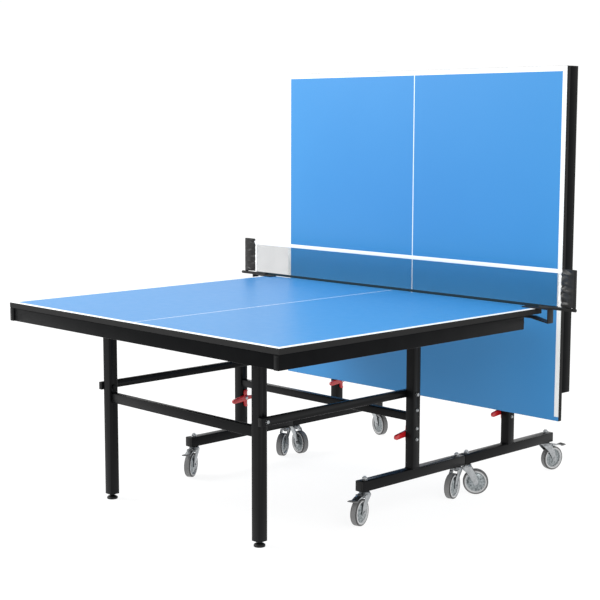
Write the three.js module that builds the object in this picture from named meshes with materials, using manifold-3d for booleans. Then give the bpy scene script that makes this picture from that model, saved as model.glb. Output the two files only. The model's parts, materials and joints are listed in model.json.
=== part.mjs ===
// Roll-away table tennis table: one half level for play, the other stowed upright.
// Millimetres, +Z up, +Y from the playing half's end line towards the stowed half.
import * as THREE from "three";
import * as BufferGeometryUtils from "three/addons/utils/BufferGeometryUtils.js";
import Module from "manifold-3d";

const wasm = await Module();
wasm.setup();

// Driving dimensions: the playing surface and the net.
const TABLE_HEIGHT = 760;
const TABLE_WIDTH = 1525;
const HALF_LENGTH = 1370;
const BOARD_THICKNESS = 22;
const NET_HEIGHT = 152.5;
const NET_OVERHANG = 152.5;
const SEAM = 0.5;

// Rails under the board's edges.
const RAIL_DEPTH = 50;
const RAIL_THICKNESS = 25;
const RAIL_CORNER = 3;
const SIDE_RAIL_STOP = 110;
const END_RAIL_RECESS = 3;

// Square tube and fits.
const TUBE = 40;
const WALL = 2;
const CORNER = 4;
const GAP = 0.3;
const PIN_CLEARANCE = 0.1;
const WELD = 1;
const ROUND = 12;
const HEX = 6;

// The trolley and the parallelogram that keeps the legs upright.
const PIVOT_FROM_NET = 415;
const PIVOT_DEPTH = 45;
const LEG_REACH = 728;
const LINK_DROP = 270;
const UPRIGHT_X = 485;
const LEG_X = 424;
const LINK_X = 455;
const LINK_WIDTH = 18;
const LINK_HEIGHT = 30;
const LINK_TAIL = 25;
const LINK_WALL = 1.5;
const PIVOT_PIN_R = 8;
const PIVOT_ARM_R = 12;
const SHAFT_FLANGE_R = 15;
const SHAFT_FLANGE = 4;
const FOOT_PLATE = 6;
const LINK_PIN_R = 5;
const BOLT_HEAD_R = 8.5;
const BOLT_HEAD = 4.5;
const BASE_LENGTH = 580;
const BASE_TOP = 162;
const BASE_GAP = 6;
const BEAM_Z = 356;
const BEAM = 30;
const LEG_BAR_Z = 403;
const LEG_BAR_HEIGHT = 38;
const LEG_BAR_DEPTH = 25;

// Casters: the wheel's centre trails the swivel axis.
const WHEEL_R = 50;
const WHEEL_WIDTH = 26;
const TRAIL = 38;
const STEM_INSET = 27;
const KINGPIN_R = 6;
const KINGPIN_HEAD_R = 9;
const KINGPIN_HEAD = 5;
const STUD_NUT_R = 10;
const STUD_NUT = 8;
const AXLE_R = 6;
const AXLE_NUT_R = 9;
const AXLE_NUT = 4;
const CROWN_R = 21;
const CROWN_BOTTOM = 108;
const CROWN_TOP = 121;
const FORK_INNER = 15.5;
const FORK_ARM = 3;
const FORK_BACK = 16;
const FORK_FRONT = 22;
const FORK_EYE_R = 11;
const PEDAL_PIVOT = { x: 28, z: 108 };
const PEDAL_PIN_R = 3;
const PEDAL_BOSS_R = 7;
const PEDAL_SLOPE = THREE.MathUtils.degToRad(8);

// Feet, lock levers and net posts.
const FOOT_R = 21;
const LEG_BOTTOM = 20;
const FOOT_STEM_R = 5;
const LEVER_Z = 292;
const LEVER_PIN_R = 4;
const LEVER_PIN_REACH = 16;
const LEVER_NUT_R = 7;
const LEVER_NUT = 3;
const LEVER_THICKNESS = 9;
const LEVER_HUB_R = 12;
const LEVER_DROOP = THREE.MathUtils.degToRad(8);
const PADDLE = { length: 64, startR: 9, endR: 7 };
const BACK_ARM = { length: 40, startR: 9, endR: 6 };
const UPPER_PRONG = { length: 32, startR: 6, endR: 5 };
const LOWER_PRONG = { length: 34, startR: 6, endR: 5 };
const CLOTH = 1.6;
const TAPE = 4;
const TAPE_HEIGHT = 15;
const SLEEVE_LIFT = 12;
const POST_R = 7;
const SLEEVE_R = 13;
const CLAMP_FROM_NET = 25;
const CLAMP_WIDTH = 34;
const SCREW_R = 5;
const SCREW_X = 685;
const CLAMP_INNER_X = 668;
const CLAMP_TOP_X = 700;
const CLAMP_REACH = 59;
const CLAMP_STRAP = 4;
const CLAMP_LOWER_JAW = 8;
const CLAMP_JAW_TOP = 14.5;
const CLAMP_BEND = { x: 745, drop: 13 };
const CLAMP_ARM_WIDTH = 18;
const CLAMP_ARM_HEIGHT = 10;
const CLAMP_KNOB_R = 6.5;

// Worked out from the above.
const HALF_WIDTH = TABLE_WIDTH / 2;
const PIVOT_Z = TABLE_HEIGHT - PIVOT_DEPTH;
const UNDERSIDE = PIVOT_DEPTH - BOARD_THICKNESS;
const END_Y = PIVOT_FROM_NET - HALF_LENGTH;
const RAIL_X = HALF_WIDTH - RAIL_THICKNESS / 2;
const RAIL_Z = UNDERSIDE - GAP - RAIL_DEPTH / 2;
const RAIL_INNER_X = HALF_WIDTH - RAIL_THICKNESS;
const BASE_BOTTOM = BASE_TOP - TUBE;
const STEM_Y = BASE_LENGTH / 2 - STEM_INSET;
const POST_X = HALF_WIDTH + NET_OVERHANG - POST_R;

const paint = new THREE.MeshStandardMaterial({ color: 0x26282a, roughness: 0.45, metalness: 0.2 });
const boardBlue = new THREE.MeshStandardMaterial({ color: 0x4d98e0, roughness: 0.35, metalness: 0 });
const zinc = new THREE.MeshStandardMaterial({ color: 0xb4b8bb, roughness: 0.35, metalness: 0.9 });
const wheelGrey = new THREE.MeshStandardMaterial({ color: 0x8b9094, roughness: 0.6, metalness: 0.1 });
const pedalGrey = new THREE.MeshStandardMaterial({ color: 0x5a5f62, roughness: 0.5, metalness: 0.3 });
const leverRed = new THREE.MeshStandardMaterial({ color: 0xbb1f22, roughness: 0.3, metalness: 0 });
const blackPlastic = new THREE.MeshStandardMaterial({ color: 0x1b1c1d, roughness: 0.5, metalness: 0 });
const netCloth = new THREE.MeshStandardMaterial({ color: 0x1c2a44, roughness: 0.9, metalness: 0 });

// A closed solid from any closed three.js geometry, for cutting and joining.
function solid(geometry) {
  const bare = geometry.clone();
  bare.deleteAttribute("normal");
  bare.deleteAttribute("uv");
  const merged = BufferGeometryUtils.mergeVertices(bare, 1e-3);
  const index = merged.index.array;
  const triVerts = [];
  for (let i = 0; i < index.length; i += 3) {
    const [a, b, c] = [index[i], index[i + 1], index[i + 2]];
    if (a !== b && b !== c && c !== a) {
      triVerts.push(a, b, c);
    }
  }
  return new wasm.Manifold(new wasm.Mesh({
    numProp: 3,
    vertProperties: new Float32Array(merged.attributes.position.array),
    triVerts: new Uint32Array(triVerts),
  }));
}

// The geometry of a cut or joined solid, with creases kept sharp.
function surface(body) {
  const mesh = body.getMesh();
  const geometry = new THREE.BufferGeometry();
  geometry.setAttribute("position", new THREE.BufferAttribute(mesh.vertProperties, 3));
  geometry.setIndex(new THREE.BufferAttribute(mesh.triVerts, 1));
  return BufferGeometryUtils.toCreasedNormals(geometry, 0.6);
}

function join(...bodies) {
  return bodies.reduce((whole, body) => whole.add(body));
}

function block(width, depth, height, x, y, z) {
  return solid(new THREE.BoxGeometry(width, depth, height).translate(x, y, z));
}

// A round rod along X, Y or Z between two places on its axis, a and b placing it across.
function rod(axis, radius, from, to, a, b, segments = ROUND) {
  const geometry = new THREE.CylinderGeometry(radius, radius, Math.abs(to - from), segments);
  const middle = (from + to) / 2;
  if (axis === "x") {
    geometry.rotateZ(Math.PI / 2).translate(middle, a, b);
  } else if (axis === "y") {
    geometry.translate(a, middle, b);
  } else {
    geometry.rotateX(Math.PI / 2).translate(a, b, middle);
  }
  return solid(geometry);
}

// A hole for a pin of that radius, wide enough that its facets clear the pin's corners.
function boreFor(axis, pinRadius, from, to, a, b) {
  const radius = (pinRadius + PIN_CLEARANCE) / Math.cos(Math.PI / ROUND);
  return rod(axis, radius, from, to, a, b);
}

function roundedOutline(path, width, height, radius) {
  const [w, h] = [width / 2, height / 2];
  path.moveTo(w, -h + radius);
  path.lineTo(w, h - radius);
  path.absarc(w - radius, h - radius, radius, 0, Math.PI / 2);
  path.lineTo(-w + radius, h);
  path.absarc(-w + radius, h - radius, radius, Math.PI / 2, Math.PI);
  path.lineTo(-w, -h + radius);
  path.absarc(-w + radius, -h + radius, radius, Math.PI, Math.PI * 1.5);
  path.lineTo(w - radius, -h);
  path.absarc(w - radius, -h + radius, radius, Math.PI * 1.5, Math.PI * 2);
  return path;
}

// Rectangular tube with open ends and rounded corners, standing along Z from the origin.
function tubeGeometry(width, depth, length, wall = WALL, corner = CORNER, curveSegments = 1) {
  const outline = roundedOutline(new THREE.Shape(), width, depth, corner);
  outline.holes.push(roundedOutline(new THREE.Path(), width - 2 * wall, depth - 2 * wall, corner - wall));
  return new THREE.ExtrudeGeometry(outline, { depth: length, bevelEnabled: false, curveSegments });
}

// The same tube lying along X or Y, centred on the origin: depth is then its height.
function tubeAlongX(depth, height, length, wall, corner) {
  return tubeGeometry(height, depth, length, wall, corner).translate(0, 0, -length / 2).rotateY(Math.PI / 2);
}

function tubeAlongY(width, height, length, wall, corner) {
  return tubeGeometry(width, height, length, wall, corner).translate(0, 0, -length / 2).rotateX(Math.PI / 2);
}

// A bar with round ends from (0, 0) to (length, 0), its width changing evenly along it.
function taperedBar(length, startR, endR) {
  const shape = new THREE.Shape();
  shape.absarc(0, 0, startR, Math.PI / 2, Math.PI * 1.5);
  shape.absarc(length, 0, endR, -Math.PI / 2, Math.PI / 2);
  return shape;
}

// A round piece standing along Z, from a profile of [radius, height] points.
function turned(profile, segments) {
  const points = profile.map(([radius, height]) => new THREE.Vector2(radius, height));
  return new THREE.LatheGeometry(points, segments).rotateX(Math.PI / 2);
}

function addPiece(group, name, geometry, material) {
  const piece = new THREE.Mesh(geometry, material);
  piece.name = name;
  group.add(piece);
  return piece;
}

// A square post hanging from a pivot at the origin, with a round head bored across for the
// pivot pin, a second bore for the link's pin and a hollow that starts above its foot plate.
function pivotPost(length, footPlate) {
  const outline = roundedOutline(new THREE.Shape(), TUBE, TUBE, CORNER);
  const settings = { depth: length, bevelEnabled: false, curveSegments: 1 };
  const column = solid(new THREE.ExtrudeGeometry(outline, settings).translate(0, 0, -length));
  const head = rod("x", TUBE / 2, -TUBE / 2, TUBE / 2, 0, 0);
  const inside = TUBE - 2 * WALL;
  const hollowHeight = length - footPlate + PIVOT_PIN_R;
  const hollow = block(inside, inside, hollowHeight, 0, 0, PIVOT_PIN_R - hollowHeight / 2);
  const pivotBore = boreFor("x", PIVOT_PIN_R, -TUBE, TUBE, 0, 0);
  const linkBore = boreFor("x", LINK_PIN_R, -TUBE, TUBE, 0, -LINK_DROP);
  return join(column, head).subtract(hollow).subtract(pivotBore).subtract(linkBore);
}

// The board, with its sharp edges just broken.
function board() {
  const edge = 1.5;
  const length = HALF_LENGTH - SEAM;
  const shape = new THREE.Shape();
  shape.moveTo(-HALF_WIDTH + edge, END_Y + edge);
  shape.lineTo(HALF_WIDTH - edge, END_Y + edge);
  shape.lineTo(HALF_WIDTH - edge, END_Y + length - edge);
  shape.lineTo(-HALF_WIDTH + edge, END_Y + length - edge);
  const geometry = new THREE.ExtrudeGeometry(shape, {
    depth: BOARD_THICKNESS - 2 * edge, bevelThickness: edge, bevelSize: edge, bevelSegments: 1,
  });
  return geometry.translate(0, 0, UNDERSIDE + edge);
}

// A side rail with the round arm and pin that the half turns on.
function sideRail(side) {
  const length = HALF_LENGTH - SIDE_RAIL_STOP;
  const tube = solid(tubeAlongY(RAIL_THICKNESS, RAIL_DEPTH, length, WALL, RAIL_CORNER));
  const armEnd = UPRIGHT_X + TUBE / 2 + 1;
  const pinEnd = UPRIGHT_X - TUBE / 2 + GAP;
  const arm = rod("x", PIVOT_ARM_R, side * (RAIL_INNER_X + WELD), side * armEnd, 0, 0);
  const pin = rod("x", PIVOT_PIN_R, side * (armEnd + WELD), side * pinEnd, 0, 0);
  return surface(join(tube.translate([side * RAIL_X, END_Y + length / 2, RAIL_Z]), arm, pin));
}

function endRail() {
  const length = 2 * (RAIL_INNER_X - GAP);
  const y = END_Y + END_RAIL_RECESS + RAIL_THICKNESS / 2;
  return tubeAlongX(RAIL_THICKNESS, RAIL_DEPTH, length, WALL, RAIL_CORNER).translate(0, y, RAIL_Z);
}

// The round bar that both legs swing on, with a flange against each side rail.
function legShaft() {
  const reach = RAIL_INNER_X - GAP;
  const flanges = [-1, 1].map((side) => (
    rod("x", SHAFT_FLANGE_R, side * reach, side * (reach - SHAFT_FLANGE), -LEG_REACH, 0)));
  return surface(join(rod("x", PIVOT_PIN_R, -reach, reach, -LEG_REACH, 0), ...flanges));
}

// A leg hanging from its shaft, with a bored plate at the bottom for the screw foot.
function leg(side) {
  const length = PIVOT_Z - LEG_BOTTOM;
  const footBore = boreFor("z", FOOT_STEM_R, -length - 5, -length + 15, 0, 0);
  return surface(pivotPost(length, FOOT_PLATE).subtract(footBore).translate([side * LEG_X, 0, 0]));
}

function legBar() {
  const length = 2 * (LEG_X - TUBE / 2 - GAP);
  return tubeAlongX(LEG_BAR_DEPTH, LEG_BAR_HEIGHT, length).translate(0, 0, LEG_BAR_Z - PIVOT_Z);
}

// A screw foot: a round pad with a sloping shoulder, on a stem that runs up into the leg.
function foot(side) {
  const profile = [
    [0, 0], [FOOT_R, 0], [FOOT_R, 7], [15, 11], [8, 14], [FOOT_STEM_R, 14], [FOOT_STEM_R, 46], [0, 46],
  ];
  return turned(profile, ROUND).translate(side * LEG_X, 0, -PIVOT_Z);
}

// A link bar with its two pins: one turns in the upright, the other in the leg.
function link(side) {
  const length = LEG_REACH + 2 * LINK_TAIL;
  const bar = solid(tubeAlongY(LINK_WIDTH, LINK_HEIGHT, length, LINK_WALL, RAIL_CORNER));
  const linkInner = LINK_X - LINK_WIDTH / 2;
  const linkOuter = LINK_X + LINK_WIDTH / 2;
  const boltsAt = [
    { y: 0, inner: linkInner, outer: UPRIGHT_X + TUBE / 2 + GAP },
    { y: -LEG_REACH, inner: LEG_X - TUBE / 2 - GAP, outer: linkOuter },
  ];
  const bolts = boltsAt.map(({ y, inner, outer }) => {
    const innerEnd = inner - BOLT_HEAD;
    const outerEnd = outer + BOLT_HEAD;
    const sunk = y === 0 ? { inner: 0.2, outer: 0 } : { inner: 0, outer: 0.2 };
    return join(
      rod("x", LINK_PIN_R, side * innerEnd, side * outerEnd, y, 0),
      rod("x", BOLT_HEAD_R, side * innerEnd, side * (inner + sunk.inner), y, 0, HEX),
      rod("x", BOLT_HEAD_R, side * (outer - sunk.outer), side * outerEnd, y, 0, HEX),
    );
  });
  return surface(join(bar.translate([side * LINK_X, -LEG_REACH / 2, 0]), ...bolts));
}

// One side of the trolley: an upright welded to its base rail, with a kingpin for each caster
// and the pin of the lock lever.
function endFrame(side) {
  const x = side * UPRIGHT_X;
  const upright = pivotPost(PIVOT_Z - BASE_TOP + WELD, WALL).translate([x, 0, PIVOT_Z]);
  const base = solid(tubeAlongY(TUBE, TUBE, BASE_LENGTH)).translate([x, 0, BASE_TOP - TUBE / 2]);
  const headTop = CROWN_BOTTOM - 1;
  const headBottom = headTop - KINGPIN_HEAD;
  const kingpins = [-STEM_Y, STEM_Y].map((y) => join(
    rod("z", KINGPIN_R, headBottom, BASE_BOTTOM + WELD, x, y),
    rod("z", KINGPIN_HEAD_R, headBottom, headTop, x, y, HEX),
    rod("z", STUD_NUT_R, BASE_TOP - WELD, BASE_TOP + STUD_NUT, x, y, HEX),
  ));
  const face = UPRIGHT_X - TUBE / 2;
  const pinEnd = face - LEVER_PIN_REACH;
  const leverPin = join(
    rod("x", LEVER_PIN_R, side * (face + WELD), side * pinEnd, 0, LEVER_Z),
    rod("x", LEVER_NUT_R, side * (pinEnd + LEVER_NUT), side * pinEnd, 0, LEVER_Z, HEX),
  );
  return surface(join(upright, base, ...kingpins, leverPin));
}

function crossBeam() {
  const length = 2 * (UPRIGHT_X - TUBE / 2 - GAP);
  return tubeAlongX(BEAM, BEAM, length).translate(0, 0, BEAM_Z);
}

// A lock lever: a paddle, a short back arm and two prongs around a bored hub.
function lever(side, facing) {
  const x = side * (UPRIGHT_X - TUBE / 2 - 2 - LEVER_THICKNESS / 2);
  const left = x - LEVER_THICKNESS / 2;
  const right = x + LEVER_THICKNESS / 2;
  const settings = { depth: LEVER_THICKNESS, bevelEnabled: false, curveSegments: 2 };
  const arm = ({ length, startR, endR }, angle) => {
    const flat = new THREE.ExtrudeGeometry(taperedBar(length, startR, endR), settings);
    return solid(flat.rotateZ(angle + Math.PI / 2).rotateY(Math.PI / 2).translate(left, 0, 0));
  };
  const paddleAngle = facing > 0 ? -LEVER_DROOP : Math.PI + LEVER_DROOP;
  const backAngle = facing > 0 ? Math.PI : 0;
  const bore = boreFor("x", LEVER_PIN_R, left - 1, right + 1, 0, 0);
  const whole = join(
    rod("x", LEVER_HUB_R, left, right, 0, 0),
    arm(PADDLE, paddleAngle),
    arm(BACK_ARM, backAngle),
    arm(UPPER_PRONG, Math.PI / 2),
    arm(LOWER_PRONG, -Math.PI / 2),
  );
  return surface(whole.subtract(bore).translate([0, 0, LEVER_Z]));
}

// A caster fork around its swivel axis, trailing along +X, with its axle and, where there is a
// brake, the pin of the pedal.
function casterFork(braked) {
  const plate = 4;
  const plateTop = CROWN_BOTTOM + plate;
  const outer = FORK_INNER + FORK_ARM;
  const outline = new THREE.Shape();
  outline.moveTo(-FORK_BACK, plateTop);
  outline.lineTo(FORK_FRONT, plateTop);
  outline.lineTo(TRAIL + FORK_EYE_R, WHEEL_R);
  outline.absarc(TRAIL, WHEEL_R, FORK_EYE_R, 0, -Math.PI, true);
  outline.lineTo(-FORK_BACK, CROWN_BOTTOM - 8);
  const settings = { depth: FORK_ARM, bevelEnabled: false, curveSegments: 3 };
  const arms = [-FORK_INNER, FORK_INNER + FORK_ARM].map((y) => (
    solid(new THREE.ExtrudeGeometry(outline, settings).rotateX(Math.PI / 2).translate(0, y, 0))));
  const axleEnd = outer + AXLE_NUT;
  const nuts = [-1, 1].map((end) => (
    rod("y", AXLE_NUT_R, end * (outer - 0.5), end * axleEnd, TRAIL, WHEEL_R, HEX)));
  const plateLength = FORK_BACK + CROWN_R;
  const plateMiddle = (CROWN_R - FORK_BACK) / 2;
  const pieces = [
    ...arms,
    block(plateLength, 2 * outer, plate, plateMiddle, 0, CROWN_BOTTOM + plate / 2),
    rod("z", CROWN_R, plateTop - WELD, CROWN_TOP, 0, 0),
    rod("y", AXLE_R, -axleEnd, axleEnd, TRAIL, WHEEL_R),
    ...nuts,
  ];
  if (braked) {
    const { x, z } = PEDAL_PIVOT;
    pieces.push(rod("y", PEDAL_PIN_R, -outer, outer, x, z));
    pieces.push(...[-1, 1].map((end) => rod("y", PEDAL_BOSS_R, end * FORK_INNER, end * outer, x, z)));
  }
  const kingpinBore = boreFor("z", KINGPIN_R, CROWN_BOTTOM - 20, CROWN_TOP + 5, 0, 0);
  return surface(join(...pieces).subtract(kingpinBore));
}

// A wheel with a dished disc between its hub and its tread.
function casterWheel() {
  const segments = 16;
  const bore = (AXLE_R + PIN_CLEARANCE) / Math.cos(Math.PI / segments);
  const hub = WHEEL_WIDTH / 2 + 1;
  const rim = WHEEL_WIDTH / 2;
  const discR = WHEEL_R - 12;
  const shoulderR = WHEEL_R - 8;
  const profile = [
    [bore, -hub], [discR, 4 - rim], [shoulderR, -rim], [WHEEL_R, 5 - rim],
    [WHEEL_R, rim - 5], [shoulderR, rim], [discR, rim - 4], [bore, hub], [bore, -hub],
  ];
  return turned(profile, segments).rotateX(Math.PI / 2).translate(TRAIL, 0, WHEEL_R);
}

// A brake pedal sloping down over the wheel from its bush.
function brakePedal() {
  const plateStart = 2;
  const plateEnd = 68;
  const plateWidth = WHEEL_WIDTH + 1;
  const treadEnd = 72;
  const treadLength = 20;
  const bushEnd = FORK_INNER - 1;
  const bush = rod("y", 2 * PEDAL_PIN_R, -bushEnd, bushEnd, 0, 0);
  const plate = block(plateEnd - plateStart, plateWidth, 3, (plateStart + plateEnd) / 2, 0, 0);
  const tread = block(treadLength, plateWidth + 7, 5, treadEnd - treadLength / 2, 0, 0.5);
  const bore = boreFor("y", PEDAL_PIN_R, -FORK_INNER, FORK_INNER, 0, 0);
  const pedal = surface(join(bush, plate, tread).subtract(bore));
  return pedal.rotateY(PEDAL_SLOPE).translate(PEDAL_PIVOT.x, 0, PEDAL_PIVOT.z);
}

// The net with its top tape and the sleeves that slip over the posts.
function net() {
  const top = PIVOT_DEPTH + NET_HEIGHT;
  const bottom = PIVOT_DEPTH + 1;
  const sleeveBottom = bottom + SLEEVE_LIFT;
  const reach = POST_X - POST_R - 2;
  const cloth = block(2 * reach, CLOTH, top - bottom, 0, PIVOT_FROM_NET, (top + bottom) / 2);
  const tape = block(2 * reach, TAPE, TAPE_HEIGHT, 0, PIVOT_FROM_NET, top - TAPE_HEIGHT / 2);
  const sleeves = [-1, 1].map((side) => (
    rod("z", SLEEVE_R, sleeveBottom, top, side * POST_X, PIVOT_FROM_NET)));
  const bores = [-1, 1].map((side) => (
    rod("z", POST_R + 0.5, sleeveBottom - 1, top + 1, side * POST_X, PIVOT_FROM_NET)));
  return surface(bores.reduce((body, bore) => body.subtract(bore), join(cloth, tape, ...sleeves)));
}

// A net post on the arm of the bent strap that grips the board's corner.
function netPost(side) {
  const y = PIVOT_FROM_NET - CLAMP_FROM_NET;
  const seat = PIVOT_DEPTH + GAP;
  const outerX = HALF_WIDTH + CLAMP_REACH;
  const jawBottom = CLAMP_JAW_TOP - CLAMP_LOWER_JAW;
  const strapBottom = jawBottom - CLAMP_BEND.drop;
  const outline = new THREE.Shape();
  outline.moveTo(CLAMP_TOP_X, seat);
  outline.lineTo(outerX - CLAMP_STRAP, seat);
  outline.lineTo(outerX - CLAMP_STRAP, strapBottom + CLAMP_STRAP);
  outline.lineTo(CLAMP_BEND.x, CLAMP_JAW_TOP);
  outline.lineTo(CLAMP_INNER_X, CLAMP_JAW_TOP);
  outline.lineTo(CLAMP_INNER_X, jawBottom);
  outline.lineTo(CLAMP_BEND.x, jawBottom);
  outline.lineTo(outerX, strapBottom);
  outline.lineTo(outerX, seat + CLAMP_STRAP);
  outline.lineTo(CLAMP_TOP_X, seat + CLAMP_STRAP);
  const flat = new THREE.ExtrudeGeometry(outline, { depth: CLAMP_WIDTH, bevelEnabled: false });
  const strap = solid(flat.rotateX(Math.PI / 2).translate(0, y + CLAMP_WIDTH / 2, 0));
  const armY = PIVOT_FROM_NET - CLAMP_ARM_WIDTH / 2 - CLOTH - GAP;
  const armStart = HALF_WIDTH + GAP;
  const armEnd = POST_X + 4;
  const armZ = seat + CLAMP_ARM_HEIGHT / 2;
  const lugStart = POST_X - POST_R;
  const lugDepth = PIVOT_FROM_NET + POST_R - armY;
  const lugX = side * (lugStart + armEnd) / 2;
  const pieces = [
    side > 0 ? strap : strap.mirror([1, 0, 0]),
    block(armEnd - armStart, CLAMP_ARM_WIDTH, CLAMP_ARM_HEIGHT, side * (armStart + armEnd) / 2, armY, armZ),
    block(armEnd - lugStart, lugDepth, CLAMP_ARM_HEIGHT, lugX, armY + lugDepth / 2, armZ),
    rod("z", POST_R, seat, PIVOT_DEPTH + NET_HEIGHT - 1, side * POST_X, PIVOT_FROM_NET),
    rod("x", CLAMP_KNOB_R, side * (POST_X + 2), side * (HALF_WIDTH + NET_OVERHANG + 9), armY, armZ),
  ];
  const screwBore = boreFor("z", SCREW_R, jawBottom - 1, CLAMP_JAW_TOP + 1, side * SCREW_X, y);
  return surface(join(...pieces).subtract(screwBore));
}

// The clamp's screw, with a round knob below and a pad under the board.
function clampScrew(side) {
  const padTop = UNDERSIDE - GAP;
  const padBottom = padTop - 4;
  const profile = [
    [0, -24], [11, -24], [13, -21], [13, -13], [10, -10], [SCREW_R, -10], [SCREW_R, padBottom - 0.5],
    [9, padBottom], [9, padTop], [0, padTop],
  ];
  return turned(profile, ROUND).translate(side * SCREW_X, PIVOT_FROM_NET - CLAMP_FROM_NET, 0);
}

// One half of the table around its pivot axis, the net's edge towards +Y. tilt is how far the
// top is stowed, from 0 level to a quarter turn, and trails are the casters' trailing directions.
function tableHalf({ name, heading, tilt, leverFacing, trails }) {
  const half = new THREE.Group();
  const top = new THREE.Group();
  const legs = new THREE.Group();
  const links = new THREE.Group();
  top.position.z = PIVOT_Z;
  top.rotation.x = -tilt;
  legs.position.set(0, -LEG_REACH * Math.cos(tilt), PIVOT_Z + LEG_REACH * Math.sin(tilt));
  links.position.z = PIVOT_Z - LINK_DROP;
  links.rotation.x = -tilt;
  half.add(top, legs, links);

  addPiece(top, `${name}_board`, board(), boardBlue);
  addPiece(top, `${name}_end_rail`, endRail(), paint);
  addPiece(top, `${name}_leg_shaft`, legShaft(), zinc);
  addPiece(legs, `${name}_leg_bar`, legBar(), paint);
  addPiece(half, `${name}_cross_beam`, crossBeam(), paint);

  for (const side of [-1, 1]) {
    const label = side * heading < 0 ? "left" : "right";
    addPiece(top, `${name}_side_rail_${label}`, sideRail(side), paint);
    addPiece(legs, `${name}_leg_${label}`, leg(side), paint);
    addPiece(legs, `${name}_foot_${label}`, foot(side), blackPlastic);
    addPiece(links, `${name}_link_${label}`, link(side), paint);
    addPiece(half, `${name}_end_frame_${label}`, endFrame(side), paint);
    addPiece(half, `${name}_lock_lever_${label}`, lever(side, leverFacing * heading), leverRed);

    for (const place of ["outer", "inner"]) {
      const caster = new THREE.Group();
      const trail = trails[`${place}_${label}`];
      caster.position.set(side * UPRIGHT_X, place === "outer" ? -STEM_Y : STEM_Y, 0);
      caster.rotation.z = THREE.MathUtils.degToRad(heading > 0 ? trail : trail - 180);
      half.add(caster);
      addPiece(caster, `${name}_fork_${place}_${label}`, casterFork(place === "outer"), zinc);
      addPiece(caster, `${name}_wheel_${place}_${label}`, casterWheel(), wheelGrey);
      if (place === "outer") {
        addPiece(caster, `${name}_brake_pedal_${label}`, brakePedal(), pedalGrey);
      }
    }
  }
  return { half, top };
}

// The playing half, and the stowed half turned to face it with its base rails end to end.
const near = tableHalf({
  name: "near", heading: 1, tilt: 0, leverFacing: -1,
  trails: { outer_left: 300, outer_right: 285, inner_left: 296, inner_right: 285 },
});
const far = tableHalf({
  name: "far", heading: -1, tilt: Math.PI / 2, leverFacing: -1,
  trails: { outer_left: 346, outer_right: 77, inner_left: 349, inner_right: 40 },
});
near.half.position.y = -PIVOT_FROM_NET;
far.half.position.y = -PIVOT_FROM_NET + BASE_LENGTH + BASE_GAP;
far.half.rotation.z = Math.PI;

addPiece(near.top, "net", net(), netCloth);
for (const side of [-1, 1]) {
  const label = side < 0 ? "left" : "right";
  addPiece(near.top, `net_post_${label}`, netPost(side), paint);
  addPiece(near.top, `net_clamp_screw_${label}`, clampScrew(side), blackPlastic);
}

const table = new THREE.Group();
table.add(near.half, far.half);

// The origin is on the floor under the middle of the whole table's outline.
table.updateMatrixWorld(true);
const outline = new THREE.Box3().setFromObject(table, true);
table.position.y = -(outline.min.y + outline.max.y) / 2;

export default table;
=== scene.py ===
# Looks of a roll-away table tennis table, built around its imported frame. Metres, +Z up.
import json
import math

import bmesh
import bpy
from mathutils import Matrix, Vector, noise


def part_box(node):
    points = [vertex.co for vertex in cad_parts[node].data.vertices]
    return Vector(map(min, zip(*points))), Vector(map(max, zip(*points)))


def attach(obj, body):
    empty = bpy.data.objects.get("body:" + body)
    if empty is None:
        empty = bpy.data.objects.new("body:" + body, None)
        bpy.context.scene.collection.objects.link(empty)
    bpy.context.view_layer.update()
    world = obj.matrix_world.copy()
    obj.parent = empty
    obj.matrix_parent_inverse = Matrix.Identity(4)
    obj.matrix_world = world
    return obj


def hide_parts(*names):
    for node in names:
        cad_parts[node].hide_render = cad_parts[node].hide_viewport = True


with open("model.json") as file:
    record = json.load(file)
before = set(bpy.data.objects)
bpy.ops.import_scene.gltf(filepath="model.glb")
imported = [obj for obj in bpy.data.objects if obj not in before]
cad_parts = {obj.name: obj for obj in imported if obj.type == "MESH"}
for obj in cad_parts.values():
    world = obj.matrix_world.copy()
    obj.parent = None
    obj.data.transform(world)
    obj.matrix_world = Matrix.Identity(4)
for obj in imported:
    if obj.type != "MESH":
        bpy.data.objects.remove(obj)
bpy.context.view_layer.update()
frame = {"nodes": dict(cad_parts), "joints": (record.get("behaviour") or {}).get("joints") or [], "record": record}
joints = {joint["name"]: joint for joint in frame["joints"]}
scene = bpy.context.scene
halves = ("near", "far")
sides = {"left": -1, "right": 1}
print("frame loaded:", len(frame["nodes"]), "nodes")

camera = {
    "place": (3.821, -3.838, 1.457),
    "turnLeft": 45.78,
    "tiltDown": 7.39,
    "roll": 0.11,
    "lens": 82.39,
    "sensor": 36.0,
}


def makeCamera():
    data = bpy.data.cameras.new("camera")
    data.lens = camera["lens"]
    data.sensor_width = camera["sensor"]
    data.clip_end = 100.0
    item = bpy.data.objects.new("camera", data)
    scene.collection.objects.link(item)
    turn = Matrix.Rotation(math.radians(camera["turnLeft"]), 4, "Z")
    tilt = Matrix.Rotation(math.radians(90.0 - camera["tiltDown"]), 4, "X")
    roll = Matrix.Rotation(math.radians(camera["roll"]), 4, "Z")
    item.matrix_world = Matrix.Translation(camera["place"]) @ turn @ tilt @ roll
    scene.camera = item


studio = {
    "floorSize": 60.0,
    "floorColour": (0.16, 0.16, 0.16, 1.0),
    "floorGlow": 0.89,
    "skyColour": (1.0, 1.0, 1.0, 1.0),
    "skyStrength": 1.02,
    "lights": [
        # place, aimed at, size, power
        ((-4.2, -3.0, 3.9), (-0.3, 0.3, 1.2), 2.6, 255.0),
        ((4.5, -1.5, 3.6), (0.2, 0.1, 0.6), 2.5, 60.0),
        ((0.5, 1.5, 5.5), (0.0, 0.2, 0.6), 3.0, 15.0),
    ],
}


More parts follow.
